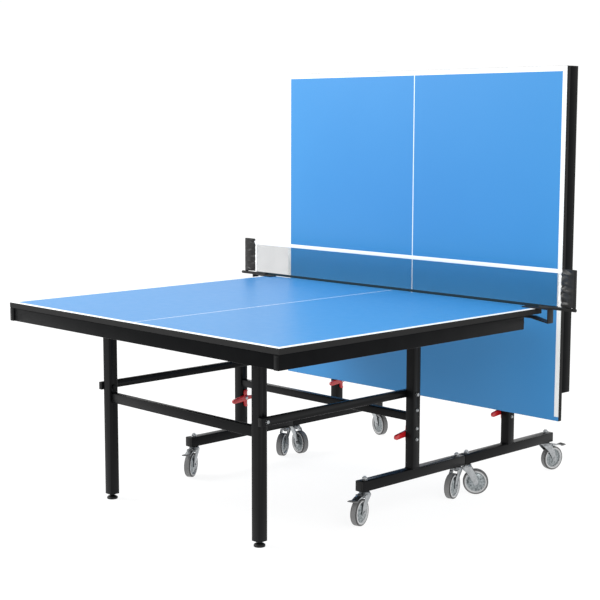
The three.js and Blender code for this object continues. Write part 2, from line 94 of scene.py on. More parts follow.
def makeStudio():
    world = bpy.data.worlds.new("studio")
    world.use_nodes = True
    background = world.node_tree.nodes["Background"]
    background.inputs["Color"].default_value = studio["skyColour"]
    background.inputs["Strength"].default_value = studio["skyStrength"]
    scene.world = world
    scene.view_settings.view_transform = "Standard"
    for number, (place, target, size, power) in enumerate(studio["lights"]):
        data = bpy.data.lights.new(f"softbox{number}", "AREA")
        data.shape = "SQUARE"
        data.size = size
        data.energy = power
        item = bpy.data.objects.new(f"softbox{number}", data)
        item.location = place
        aim = Vector(target) - Vector(place)
        item.rotation_euler = aim.to_track_quat("-Z", "Y").to_euler()
        scene.collection.objects.link(item)
    mesh = bpy.data.meshes.new("floor")
    bm = bmesh.new()
    bmesh.ops.create_grid(bm, x_segments=1, y_segments=1, size=studio["floorSize"] / 2)
    bm.to_mesh(mesh)
    bm.free()
    floor = bpy.data.objects.new("floor", mesh)
    scene.collection.objects.link(floor)
    paper = bpy.data.materials.new("paleFloor")
    paper.use_nodes = True
    shader = paper.node_tree.nodes["Principled BSDF"]
    shader.inputs["Base Color"].default_value = studio["floorColour"]
    shader.inputs["Roughness"].default_value = 0.9
    shader.inputs["Specular IOR Level"].default_value = 0.1
    shader.inputs["Emission Color"].default_value = studio["skyColour"]
    shader.inputs["Emission Strength"].default_value = studio["floorGlow"]
    mesh.materials.append(paper)


makeCamera()
makeStudio()
print("camera and studio ready")


class Wire:  # a socket that takes part in Python sums
    def __init__(self, finish, socket):
        self.finish = finish
        self.socket = socket

    def maths(self, operation, *values):
        return self.finish.node("ShaderNodeMath", {"operation": operation}, dict(enumerate(values)))

    def __add__(self, other):
        return self.maths("ADD", self, other)

    def __sub__(self, other):
        return self.maths("SUBTRACT", self, other)

    def __rsub__(self, other):
        return self.maths("SUBTRACT", other, self)

    def __mul__(self, other):
        return self.maths("MULTIPLY", self, other)

    def __gt__(self, other):
        return self.maths("GREATER_THAN", self, other)

    def __lt__(self, other):
        return self.maths("LESS_THAN", self, other)

    def __abs__(self):
        return self.maths("ABSOLUTE", self)

    def fraction(self):
        return self.maths("FRACT", self)

    def either(self, other):
        return self.maths("MAXIMUM", self, other)

    __radd__ = __add__
    __rmul__ = __mul__


class Finish:  # one material and the nodes that make it
    def __init__(self, name, **shader):
        self.material = bpy.data.materials.new(name)
        self.material.use_nodes = True
        self.tree = self.material.node_tree
        self.shader = self.tree.nodes["Principled BSDF"]
        self.place = self.node("ShaderNodeTexCoord", output="Object")
        self.feed(self.shader, shader)

    def feed(self, node, values):
        for name, value in values.items():
            if isinstance(value, Wire):
                self.tree.links.new(value.socket, node.inputs[name])
            else:
                node.inputs[name].default_value = value

    def node(self, kind, settings=None, values=None, output=0):
        made = self.tree.nodes.new(kind)
        for name, value in (settings or {}).items():
            if name == "stops":
                for number, (where, colour) in enumerate(value):
                    if number > 1:
                        made.color_ramp.elements.new(where)
                    made.color_ramp.elements[number].position = where
                    made.color_ramp.elements[number].color = colour
            else:
                setattr(made, name, value)
        self.feed(made, values or {})
        return Wire(self, made.outputs[output])

    def set(self, **values):
        self.feed(self.shader, {name.replace("_", " "): value for name, value in values.items()})

    def axes(self):
        parts = self.node("ShaderNodeSeparateXYZ", values={0: self.place}).socket.node
        return [Wire(self, parts.outputs[number]) for number in range(3)]

    def grain(self, scale, detail=2.0, roughness=0.5):
        values = {"Vector": self.place, "Scale": scale, "Detail": detail, "Roughness": roughness}
        return self.node("ShaderNodeTexNoise", values=values)

    def tint(self, share, first, second):
        values = {0: share, 6: first, 7: second}  # the Mix node's factor and its two colours
        return self.node("ShaderNodeMix", {"data_type": "RGBA"}, values, output=2)

    def ramp(self, share, *stops):
        return self.node("ShaderNodeValToRGB", {"stops": stops}, {0: share})

    def bump(self, height, depth, strength=1.0):
        values = {"Height": height, "Distance": depth, "Strength": strength}
        self.set(Normal=self.node("ShaderNodeBump", values=values))


def grey(level, warmth=0.0):
    return (level * (1 + warmth), level, level * (1 - warmth), 1.0)


powderCoat = {
    "dark": (0.0030, 0.0032, 0.0036, 1.0),
    "light": (0.0070, 0.0073, 0.0078, 1.0),
    "roughness": (0.24, 0.14),
    "smear": 45.0,
    "mottle": 14.0,
    "peel": 900.0,
    "peelDepth": 0.00012,
    "peelStrength": 0.6,
}


def blackPowderCoat(name, shine):
    look = powderCoat
    finish = Finish(name, **{"Specular IOR Level": shine})
    mottle = finish.grain(look["mottle"], detail=4.0)
    peel = finish.grain(look["peel"], detail=1.0)
    smoothest, spread = look["roughness"]
    finish.set(
        Base_Color=finish.tint(mottle, look["dark"], look["light"]),
        Roughness=finish.grain(look["smear"], detail=3.0) * spread + smoothest,
    )
    finish.bump(peel, look["peelDepth"], look["peelStrength"])
    return finish.material


boardPaint = {
    "blue": (0.030, 0.231, 0.545, 1.0),
    "paleBlue": (0.040, 0.255, 0.575, 1.0),
    "line": (0.88, 0.90, 0.90, 1.0),
    "centreLine": (0.84, 0.90, 0.94, 1.0),
    "edge": (0.005, 0.005, 0.005, 1.0),
    "back": (0.010, 0.011, 0.013, 1.0),
    "lineWidth": 0.020,
    "centreWidth": 0.0042,
    "lineStop": 0.017,
    "skin": 0.0008,
    "roughness": (0.35, 0.08),
    "mattBack": 0.45,
    "shine": 0.38,
    "cloud": 2.2,
    "smear": 30.0,
    "speck": 1400.0,
    "speckDepth": 0.00006,
    "speckStrength": 0.5,
}


def boardFinish(half):
    look = boardPaint
    low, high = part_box(f"{half}_board")
    finish = Finish(f"{half}Board", **{"Specular IOR Level": look["shine"]})
    x, y, z = finish.axes()
    if half == "near":  # level: the end line is at the low end of Y, the playing face on top
        fromEnd = y - low.y
        fromNet = high.y - y
        face = z > high.z - look["skin"]
        back = z < low.z + look["skin"]
    else:  # stowed: the end line is at the top, the playing face towards -Y
        fromEnd = high.z - z
        fromNet = z - low.z
        face = y < low.y + look["skin"]
        back = y > high.y - look["skin"]
    fromSide = high.x - abs(x)
    sideLine = (fromSide < look["lineWidth"]) * (fromNet > look["lineStop"])
    border = (fromEnd < look["lineWidth"]).either(sideLine)
    centre = abs(x) < look["centreWidth"] / 2
    cloud = finish.grain(look["cloud"], detail=2.0)
    speck = finish.grain(look["speck"], detail=1.0)
    blue = finish.tint(cloud, look["blue"], look["paleBlue"])
    painted = finish.tint(centre, blue, look["centreLine"])
    painted = finish.tint(border, painted, look["line"])
    rest = finish.tint(back, look["edge"], look["back"])
    smoothest, spread = look["roughness"]
    matt = (1 - face) * look["mattBack"]
    finish.set(
        Base_Color=finish.tint(face, rest, painted),
        Roughness=finish.grain(look["smear"], detail=3.0) * spread + smoothest + matt,
    )
    finish.bump(speck, look["speckDepth"], look["speckStrength"])
    return finish.material


zincLook = {
    "dark": (0.20, 0.21, 0.22, 1.0),
    "light": (0.58, 0.60, 0.61, 1.0),
    "roughness": (0.20, 0.22),
    "spangle": 90.0,
    "smear": 260.0,
    "pits": 700.0,
    "pitDepth": 0.00010,
}


def zincPlate():
    finish = Finish("zincPlate", Metallic=1.0)
    spangle = finish.grain(zincLook["spangle"], detail=5.0, roughness=0.6)
    smoothest, spread = zincLook["roughness"]
    finish.set(
        Base_Color=finish.tint(spangle, zincLook["dark"], zincLook["light"]),
        Roughness=finish.grain(zincLook["smear"], detail=4.0) * spread + smoothest,
    )
    finish.bump(finish.grain(zincLook["pits"], detail=2.0), zincLook["pitDepth"], 0.5)
    return finish.material


coverLook = {
    "dark": (0.11, 0.125, 0.130, 1.0),
    "light": (0.36, 0.39, 0.40, 1.0),
    "roughness": (0.20, 0.20),
    "metal": 0.85,
    "patch": 150.0,
    "darkTo": 0.36,
    "lightFrom": 0.62,
    "smear": 320.0,
    "dents": 420.0,
    "dentDepth": 0.00020,
}


def pressedCover():  # the dished, plated disc over the wheel's spokes
    look = coverLook
    finish = Finish("pressedCover", Metallic=look["metal"])
    cloud = finish.grain(look["patch"], detail=5.0, roughness=0.65)
    patch = finish.ramp(cloud, (look["darkTo"], look["dark"]), (look["lightFrom"], look["light"]))
    smoothest, spread = look["roughness"]
    finish.set(Base_Color=patch, Roughness=finish.grain(look["smear"], detail=4.0) * spread + smoothest)
    finish.bump(finish.grain(look["dents"], detail=3.0), look["dentDepth"], 0.6)
    return finish.material


plasticLook = {
    "cloud": 40.0,
    "smear": 180.0,
    "textureDepth": 0.00006,
    "coatRoughness": 0.1,
}


def mouldedPlastic(name, dark, light, roughness, coat=0.0, texture=1100.0, shine=0.5):
    look = plasticLook
    coating = {"Coat Weight": coat, "Coat Roughness": look["coatRoughness"]}
    finish = Finish(name, **coating, **{"Specular IOR Level": shine})
    cloud = finish.grain(look["cloud"], detail=3.0)
    smoothest, spread = roughness
    finish.set(
        Base_Color=finish.tint(cloud, dark, light),
        Roughness=finish.grain(look["smear"], detail=3.0) * spread + smoothest,
    )
    finish.bump(finish.grain(texture, detail=2.0), look["textureDepth"], 0.6)
    return finish.material


netLook = {
    "string": (0.008, 0.028, 0.044, 1.0),
    "pitch": 0.0033,
    "width": 0.00062,
    "roughness": 0.8,
    "shine": 0.15,
    "fibre": 2600.0,
    "fibreDepth": 0.0001,
}


def netMesh():
    look = netLook
    finish = Finish("netMesh", Roughness=look["roughness"], **{"Specular IOR Level": look["shine"]})
    x, _, z = finish.axes()
    share = look["width"] / look["pitch"]
    upright = (x * (1 / look["pitch"])).fraction() < share
    level = (z * (1 / look["pitch"])).fraction() < share
    finish.set(Base_Color=look["string"], Alpha=upright.either(level))
    finish.bump(finish.grain(look["fibre"], detail=1.0), look["fibreDepth"], 0.3)
    return finish.material


clothLook = {
    "thread": 0.0009,
    "threadDepth": 0.00025,
    "cloud": 60.0,
}


def wovenCloth(name, dark, light, roughness=0.75, sheen=0.3, shine=0.5):
    finish = Finish(name, Roughness=roughness, **{"Sheen Weight": sheen, "Specular IOR Level": shine})
    x, y, z = finish.axes()
    across = ((x + y) * (1 / clothLook["thread"])).fraction() - 0.5
    along = (z * (1 / clothLook["thread"])).fraction() - 0.5
    cloud = finish.grain(clothLook["cloud"], detail=4.0)
    finish.set(Base_Color=finish.tint(cloud, dark, light))
    finish.bump(abs(across) + abs(along), clothLook["threadDepth"], 0.5)
    return finish.material


finishes = {
    "coat": blackPowderCoat("blackPowderCoat", 0.11),
    "railCoat": blackPowderCoat("railPowderCoat", 0.035),
    "nearBoard": boardFinish("near"),
    "farBoard": boardFinish("far"),
    "zinc": zincPlate(),
    "tyre": mouldedPlastic("tyreRubber", grey(0.130), grey(0.190), (0.45, 0.2), texture=500.0),
    # the tyre's rounded shoulder in near-black: painted shade for the dark outline along the tyre's edge
    "shoulder": mouldedPlastic("tyreShoulder", grey(0.020), grey(0.035), (0.4, 0.2), texture=500.0),
    "hub": pressedCover(),
    "rim": mouldedPlastic("rimRing", grey(0.46, -0.01), grey(0.60, -0.01), (0.3, 0.15)),
    "pedal": mouldedPlastic("pedalTread", grey(0.10), grey(0.15), (0.4, 0.2), texture=600.0),
    "red": mouldedPlastic(
        "redPlastic", (0.42, 0.008, 0.012, 1), (0.56, 0.014, 0.018, 1), (0.2, 0.12), coat=0.5),
    "black": mouldedPlastic("blackPlastic", grey(0.006), grey(0.012), (0.34, 0.2), shine=0.2),
    "net": netMesh(),
    "tape": wovenCloth("whiteTape", grey(0.88), grey(0.95)),
    "band": wovenCloth(
        "darkBand", (0.009, 0.024, 0.034, 1), (0.016, 0.036, 0.048, 1), sheen=0.0, shine=0.15),
    "sleeve": wovenCloth(
        "sleeveCloth", grey(0.008, 0.03), grey(0.020, 0.03), roughness=0.30, sheen=0.05, shine=0.28),
}
print("finishes ready:", len(finishes))


creaseAngle = 33.0  # an edge that turns more than this stays sharp
sameSpot = 1e-6


def unique(items):
    # each item once, in the order in which it comes
    return list(dict.fromkeys(items))


def addPiece(name, bm, looks, body, replaces=(), angle=creaseAngle):
    mesh = bpy.data.meshes.new(name)
    bm.to_mesh(mesh)
    bm.free()
    for look in looks:
        mesh.materials.append(finishes[look])
    mesh.shade_smooth()
    mesh.set_sharp_from_angle(angle=math.radians(angle))
    piece = bpy.data.objects.new(name, mesh)
    scene.collection.objects.link(piece)
    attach(piece, body)
    if replaces:
        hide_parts(*replaces)
    return piece


def bevelSharp(bm, width, segments=2, angle=creaseAngle, edges=None):
    limit = math.radians(angle)
    sharp = [e for e in (edges or bm.edges) if e.is_manifold and e.calc_face_angle(0.0) > limit]
    bmesh.ops.bevel(
        bm, geom=sharp, offset=width, segments=segments, profile=0.5,
        affect="EDGES", clamp_overlap=True, material=-1,
    )


def block(bm, size, centre, bevel=0.0, segments=2):
    made = bmesh.ops.create_cube(bm, size=1.0)["verts"]
    bmesh.ops.scale(bm, vec=size, verts=made)
    bmesh.ops.translate(bm, vec=centre, verts=made)
    if bevel:
        edges = unique(e for v in made for e in v.link_edges)
        result = bmesh.ops.bevel(
            bm, geom=edges, offset=bevel, segments=segments, profile=0.5,
            affect="EDGES", clamp_overlap=True, material=-1,
        )
        made = unique(v for f in result["faces"] for v in f.verts)
    return made


def spinProfile(bm, profile, axis, centre, steps=48):
    # profile: (radius, distance along the axis) points; one that starts off the axis is closed
    axis = Vector(axis)
    across = Vector((1, 0, 0)) if abs(axis.x) < 0.5 else Vector((0, 1, 0))
    across = (across - across.project(axis)).normalized()
    centre = Vector(centre)
    verts = [bm.verts.new(centre + across * radius + axis * along) for radius, along in profile]
    edges = [bm.edges.new(pair) for pair in zip(verts, verts[1:])]
    if profile[0][0] > sameSpot:
        edges.append(bm.edges.new((verts[-1], verts[0])))
    before = set(bm.faces)
    bmesh.ops.spin(
        bm, geom=verts + edges, cent=centre, axis=axis, angle=2 * math.pi,
        steps=steps, use_merge=True, use_duplicate=False,
    )
    faces = [f for f in bm.faces if f not in before]
    made = unique(v for f in faces for v in f.verts)
    bmesh.ops.remove_doubles(bm, verts=made, dist=sameSpot)
    faces = [f for f in bm.faces if f not in before]
    bmesh.ops.recalc_face_normals(bm, faces=faces)
    return faces


def slab(bm, outline, place, thickness, bevel, segments=2):
    # outline: (x, z) points of a flat plate that lies across Y, from place to place + thickness
    verts = [bm.verts.new((x, place, z)) for x, z in outline]
    face = bm.faces.new(verts)
    made = bmesh.ops.extrude_face_region(bm, geom=[face])["geom"]
    lifted = [v for v in made if isinstance(v, bmesh.types.BMVert)]
    bmesh.ops.translate(bm, vec=(0, thickness, 0), verts=lifted)
    faces = unique(f for v in verts + lifted for f in v.link_faces)
    bmesh.ops.recalc_face_normals(bm, faces=faces)
    edges = unique(e for f in faces for e in f.edges)
    bevelSharp(bm, bevel, segments=segments, edges=edges)


def arc(centre, radius, start, end, steps):
    turns = [math.radians(start + (end - start) * step / steps) for step in range(steps + 1)]
    return [(centre[0] + radius * math.cos(a), centre[1] + radius * math.sin(a)) for a in turns]


washerShape = {"straight": 0.0012, "thickness": 0.0017, "slope": 0.0006, "sink": 0.0015}


def hexHead(bm, centre, axis, across, height, washer=0.0):
    # a hexagon head with rounded edges, on a washer where there is one
    axis = Vector(axis)
    centre = Vector(centre)
    turn = Vector((0, 0, 1)).rotation_difference(axis).to_matrix().to_4x4()
    if washer:
        straight, thickness = washerShape["straight"], washerShape["thickness"]
        rounded = washer - washerShape["slope"]
        edge = [(0, 0), (washer, 0), (washer, straight), (rounded, thickness), (0, thickness)]
        spinProfile(bm, edge, axis, centre, steps=32)
        centre = centre + axis * washerShape["sink"]
    place = Matrix.Translation(centre + axis * height / 2) @ turn
    radius = across / math.sqrt(3)
    made = bmesh.ops.create_cone(
        bm, cap_ends=True, segments=6, radius1=radius, radius2=radius, depth=height, matrix=place,
    )["verts"]
    edges = unique(e for v in made for e in v.link_edges)
    bevelSharp(bm, height * 0.16, edges=edges)


# tubes and rails keep the frame's own shapes: finish, slot and edge rounding of each kind
refined = {
    "end_frame": ("coat", "paint", 0.0011),
    "side_rail": ("railCoat", "paint", 0.0009),
    "leg": ("coat", "paint", 0.0011),
    "link": ("coat", "paint", 0.0009),
    "end_rail": ("railCoat", "paint", 0.0009),
    "leg_bar": ("coat", "paint", 0.0010),
    "cross_beam": ("coat", "paint", 0.0010),
    "leg_shaft": ("zinc", "zinc", 0.0008),
    "net_post": ("black", "paint", 0.0008),
    "net_clamp_screw": ("black", "black_plastic", 0.0008),
    "foot": ("black", "black_plastic", 0.0008),
}
handed = ("end_frame", "side_rail", "leg", "link", "foot")
bodies = frame["record"]["behaviour"]["bodies"]
bodyOf = {name: body for body, names in bodies.items() for name in names}
refineSteps = {"sameSpot": 2e-6, "flatAngle": 0.5, "sharpAngle": 36.0}


def refine(node, kind):
    look, slot, width = refined[kind]
    bm = bmesh.new()
    bm.from_mesh(frame["nodes"][node].data)
    bmesh.ops.remove_doubles(bm, verts=bm.verts, dist=refineSteps["sameSpot"])
    bmesh.ops.dissolve_limit(
        bm, angle_limit=math.radians(refineSteps["flatAngle"]), use_dissolve_boundaries=False,
        verts=bm.verts, edges=bm.edges,
    )
    bevelSharp(bm, width, angle=refineSteps["sharpAngle"])
    return addPiece(f"{node}_finished", bm, [look], bodyOf[node], replaces=[node])


for half in halves:
    for kind in ("end_rail", "leg_bar", "cross_beam", "leg_shaft"):
        refine(f"{half}_{kind}", kind)
    for kind in handed:
        for side in sides:
            refine(f"{half}_{kind}_{side}", kind)
for kind in ("net_post", "net_clamp_screw"):
    for side in sides:
        refine(f"{kind}_{side}", kind)
for half in halves:
    board = frame["nodes"][f"{half}_board"]
    board.data.materials.clear()
    board.data.materials.append(finishes[f"{half}Board"])
print("tubes and rails refined")

caster = {
    "wheelR": 0.050,
    "width": 0.026,
    "rimDepth": 0.0072,
    "shoulder": (0.0036, 0.0046),  # radius across and along the tyre's rounded edge
    # width of the painted shade on the tyre's rounded shoulder
    "darkEdge": 0.0030,
    "rimWidth": 0.0050,
    "wheelCrease": 50,
    "trail": 0.038,
    "axleZ": 0.050,
    "gap": 0.0155,
    "arm": 0.003,
    "armEdge": 0.0007,
    "eyeR": 0.0100,
    "crownBottom": 0.1080,
    "crownRise": 0.0045,
    "crownPlate": 0.0036,
    "crownWidth": 0.0365,
    "axleNut": {"across": 0.0125, "height": 0.0036},
}
pedalShape = {
    "slope": 8.0,
    "pivot": (0.028, 0.108),
    "pinR": 0.0040,
    "pinOut": 0.002,
    "bushR": 0.0062,
    "bushBore": 0.0036,
    "plate": 0.0022,
    "halfWidth": 0.0136,
    "treadStart": 0.050,
    "treadEnd": 0.0725,
    "treadHalf": 0.0168,
    "ribs": 4,
    "ribStart": 0.006,
    "ribPitch": 0.0045,
    "ribSize": (0.0014, 0.029, 0.0016),
    "ribRise": 0.27,
}


def wheelTyre(bm):
    radius, half = caster["wheelR"], caster["width"] / 2
    rimR = radius - caster["rimDepth"]
    across, along = caster["shoulder"]
    turns = [math.radians(step * 15) for step in range(7)]
    outer = [(radius - across + across * math.cos(a), half - along + along * math.sin(a)) for a in turns]
    outer += [(rimR + 0.0010, half - 0.0001), (rimR, half - 0.0008)]
    profile = [(r, -s) for r, s in reversed(outer)] + outer
    centre = Vector((caster["trail"], 0, caster["axleZ"]))
    for face in spinProfile(bm, profile, (0, 1, 0), centre, steps=72):
        middle = face.calc_center_median() - centre
        # faces on the rounded shoulder take the near-black finish: painted shade along the tyre's outer edge
        nearSide = half - abs(middle.y) < caster["darkEdge"]
        if nearSide and math.hypot(middle.x, middle.z) > radius - caster["darkEdge"]:
            face.material_index = 1


def wheelDisc(bm):
    rimR, half = caster["wheelR"] - caster["rimDepth"], caster["width"] / 2
    side = [
        (rimR + 0.0003, half - 0.0006), (rimR - 0.0009, half + 0.0002), (rimR - 0.0030, half + 0.0003),
        (rimR - 0.0042, half - 0.0010), (rimR - 0.0056, half - 0.0046), (rimR - 0.0075, half - 0.0052),
        (rimR - 0.0110, half - 0.0034), (rimR - 0.0170, half - 0.0008), (rimR - 0.0230, half + 0.0006),
        (0.0085, half + 0.0011), (0.0072, half + 0.0016), (0.0, half + 0.0017),
    ]
    profile = [(r, -s) for r, s in reversed(side)] + side
    centre = Vector((caster["trail"], 0, caster["axleZ"]))
    for face in spinProfile(bm, profile, (0, 1, 0), centre, steps=72):
        middle = face.calc_center_median() - centre
        if math.hypot(middle.x, middle.z) > rimR - caster["rimWidth"]:
            face.material_index = 1


def forkShell(bm, braked):
    gap, arm, trail, axleZ = caster["gap"], caster["arm"], caster["trail"], caster["axleZ"]
    outside = gap + arm
    top = caster["crownBottom"] + caster["crownRise"]
    eye = arc((trail, axleZ), caster["eyeR"], 15, -165, 10)
    front = [(0.019, top), (0.0240, top - 0.007), (0.0385, top - 0.030)]
    back = [
        (0.0195, 0.064), (0.0070, 0.082), (-0.0060, 0.094), (-0.0165, 0.1035),
        (-0.0175, top - 0.003), (-0.0145, top),
    ]
    for place in (-outside, gap):
        slab(bm, front + eye + back, place, arm, caster["armEdge"])
    plate = caster["crownPlate"]
    block(bm, (caster["crownWidth"], 2 * outside, plate), (0.003, 0, top - plate / 2), bevel=0.0012)
    raceway = [
        (0.0066, top - 0.0046), (0.0120, top - 0.0046), (0.0135, top - 0.0020), (0.0185, top - 0.0012),
        (0.0185, top + 0.0012), (0.0208, top + 0.0018), (0.0212, top + 0.0036), (0.0200, top + 0.0046),
        (0.0186, top + 0.0050), (0.0190, top + 0.0066), (0.0172, top + 0.0080), (0.0130, top + 0.0086),
        (0.0066, top + 0.0086),
    ]
    spinProfile(bm, raceway, (0, 0, 1), (0, 0, 0), steps=48)
    dimple = [(0, 0), (0.0105, 0), (0.0105, 0.0004), (0.0090, 0.0012), (0, 0.0012)]
    spacer = [(0, 0), (0.0062, 0), (0.0062, 0.0030), (0, 0.0030)]
    for end in (-1, 1):
        axis = (0, end, 0)
        spinProfile(bm, dimple, axis, (trail, end * (outside - 0.0001), axleZ), steps=40)
        hexHead(bm, (trail, end * (outside + 0.001), axleZ), axis, **caster["axleNut"])
        spinProfile(bm, spacer, axis, (trail, end * (gap - 0.0024), axleZ), steps=32)
    if braked:
        pinR, reach = pedalShape["pinR"], outside + pedalShape["pinOut"]
        pin = [(0, -reach), (pinR, -reach), (pinR, reach), (0, reach)]
        x, z = pedalShape["pivot"]
        spinProfile(bm, pin, (0, 1, 0), (x, 0, z), steps=28)


def brakePedal(bm):
    # drawn level about its pivot, then tipped by its slope
    look = pedalShape
    halfWidth, plate = look["halfWidth"], look["plate"]
    upper = [
        (0.004, 0.0035), (0.016, 0.0052), (0.030, 0.0040),
        (0.044, 0.0015), (0.056, 0.0010), (0.0715, 0.0052),
    ]
    lower = [(x, z - plate) for x, z in reversed(upper)]
    slab(bm, upper + lower, -halfWidth, 2 * halfWidth, 0.0006)
    cheek = [  # a side that folds down around the pivot
        (0.044, 0.0005), (0.030, 0.0032), (0.012, 0.0044), (-0.004, 0.003),
        (-0.006, -0.003), (0.000, -0.0055), (0.008, -0.0048), (0.024, -0.0008),
    ]
    for edge in (-halfWidth, halfWidth - plate):
        slab(bm, cheek, edge, plate, 0.0005)
    bushR, bore = look["bushR"], look["bushBore"]
    bush = [(bore, -halfWidth), (bushR, -halfWidth), (bushR, halfWidth), (bore, halfWidth)]
    spinProfile(bm, bush, (0, 1, 0), (0, 0, 0), steps=28)
    steel = set(bm.faces)
    start, end = look["treadStart"], look["treadEnd"]
    tread = [
        (start, 0.0012), (0.056, 0.0026), (end, 0.0068),
        (end + 0.0004, 0.0030), (0.057, -0.0020), (start, -0.0018),
    ]
    slab(bm, tread, -look["treadHalf"], 2 * look["treadHalf"], 0.0009)
    for rib in range(look["ribs"]):
        x = start + look["ribStart"] + rib * look["ribPitch"]
        z = 0.0028 + (x - 0.056) * look["ribRise"]
        block(bm, look["ribSize"], (x, 0, z), bevel=0.0004)
    for face in bm.faces:
        if face not in steel:
            face.material_index = 1
    turn = Matrix.Rotation(math.radians(look["slope"]), 4, "Y")
    x, z = look["pivot"]
    bmesh.ops.transform(bm, matrix=Matrix.Translation((x, 0, z)) @ turn, verts=bm.verts)


def placeCaster(bm, half, key):
    swivel = Vector(joints[f"{half}_swivel_{key}"]["pos_m"])
    axle = Vector(joints[f"{half}_spin_{key}"]["pos_m"])
    heading = math.atan2(axle.y - swivel.y, axle.x - swivel.x)
    place = Matrix.Translation((swivel.x, swivel.y, 0)) @ Matrix.Rotation(heading, 4, "Z")
    bmesh.ops.transform(bm, matrix=place, verts=bm.verts)


def makeCaster(half, key):
    fork, wheel = f"{half}_fork_{key}", f"{half}_wheel_{key}"
    pedal = f"{half}_brake_pedal_{key.split('_')[1]}"
    braked = key.startswith("outer")
    turned = caster["wheelCrease"]
    parts = [
        # shape, piece, finishes, body, slot, replaced node, crease angle
        (lambda bm: forkShell(bm, braked), f"{fork}_pressed", ["zinc"], fork, "zinc", [fork], creaseAngle),
        (wheelTyre, f"{wheel}_tyre", ["tyre", "shoulder"], wheel, "wheel", [wheel], turned),
        (wheelDisc, f"{wheel}_cover", ["hub", "rim"], wheel, "wheel", [], turned),
    ]
    if braked:
        name = f"{pedal}_pressed"
        parts.append((brakePedal, name, ["zinc", "pedal"], pedal, "pedal", [pedal], creaseAngle))
    for shape, name, looks, body, slot, replaced, angle in parts:
        bm = bmesh.new()
        shape(bm)
        placeCaster(bm, half, key)
        addPiece(name, bm, looks, body, replaced, angle)


for half in halves:
    for side in sides:
        for place in ("outer", "inner"):
            makeCaster(half, f"{place}_{side}")
print("casters ready")

lever = {
    "thickness": 0.0120,
    "droop": 8.0,
    "hubR": 0.0135,
    "hubEdge": 0.001,
    "hubTaper": 0.002,
    "paddle": (0.0632, 0.0124, 0.0094),  # length, radius at the hub, radius at the tip
    "backArm": (0.0395, 0.0104, 0.0068),
    "rounding": 0.0026,
    "prongs": ((1, 0.036), (-1, 0.038)),  # up or down, reach
    "prongShare": 0.84,  # of the lever's thickness
    "prongRounding": 0.0018,
    "nutFace": 0.4522,
    "nut": {"across": 0.0130, "height": 0.0044},
}


def leverArm(bm, length, startR, endR, angle):
    thickness = lever["thickness"]
    outline = arc((0, 0), startR, 90, 270, 8) + arc((length, 0), endR, -90, 90, 8)
    turn = Matrix.Rotation(math.radians(angle), 2)
    outline = [tuple(turn @ Vector(point)) for point in outline]
    slab(bm, outline, -thickness / 2, thickness, lever["rounding"], segments=3)


def lockLever(half, side):
    # a crossed lever of moulded plastic: a paddle, a back arm and two hooked prongs on a hub
    look = lever
    name = f"{half}_lock_lever_{side}"
    pivot = Vector(joints[f"{name}_turn"]["pos_m"])
    bm = bmesh.new()
    leverArm(bm, *look["paddle"], -look["droop"])
    leverArm(bm, *look["backArm"], 180.0)
    width = look["thickness"] * look["prongShare"]
    for way, reach in look["prongs"]:
        outline = [
            (0.0082, 0.004), (0.0064, reach - 0.008), (0.0024, reach - 0.001), (-0.0070, reach),
            (-0.0120, reach - 0.005), (-0.0080, reach - 0.010), (-0.0064, reach - 0.015), (-0.0080, 0.004),
        ]
        slab(bm, [(x, z * way) for x, z in outline], -width / 2, width, look["prongRounding"])
    hubR, deep, edge = look["hubR"], look["thickness"] / 2, look["hubEdge"]
    faceR = hubR - look["hubTaper"]
    hub = [
        (0.0, -deep - edge), (faceR, -deep - edge), (hubR, -deep + edge),
        (hubR, deep - edge), (faceR, deep + edge), (0.0, deep + edge),
    ]
    spinProfile(bm, hub, (0, 1, 0), (0, 0, 0), steps=40)
    place = Matrix.Translation(pivot) @ Matrix.Rotation(math.radians(-90.0), 4, "Z")
    bmesh.ops.transform(bm, matrix=place, verts=bm.verts)
    addPiece(f"{name}_moulded", bm, ["red"], name, replaces=[name], angle=50)
    sign = sides[side]
    bm = bmesh.new()
    hexHead(bm, (sign * look["nutFace"], pivot.y, pivot.z), (-sign, 0, 0), **look["nut"])
    addPiece(f"{name}_nut", bm, ["zinc"], f"{half}_trolley")


for half in halves:
    for side in sides:
        lockLever(half, side)
print("lock levers ready")

bolts = {
    "uprightFace": 0.505,
    "uprightHeights": (0.385, 0.315, 0.273),
    "assembly": {"across": 0.0088, "height": 0.0036, "washer": 0.0060},
    "linkDrop": 0.270,
    "linkStandOff": 0.0002,
    "legFace": 0.4641,
    "link": {"across": 0.0120, "height": 0.0045, "washer": 0.0080},
    "kingpinZ": 0.1620,
    "kingpin": {"across": 0.0185, "height": 0.0084, "washer": 0.0125},
    "tipZ": 0.1722,
    "tip": [(0, 0), (0.0062, 0), (0.0055, 0.0035), (0, 0.0038)],
    "shank": [(0, 0.1010), (0.0064, 0.1010), (0.0064, 0.1222), (0, 0.1222)],
    "lockNutZ": 0.1072,
    "lockNut": {"across": 0.0165, "height": 0.0052},
}


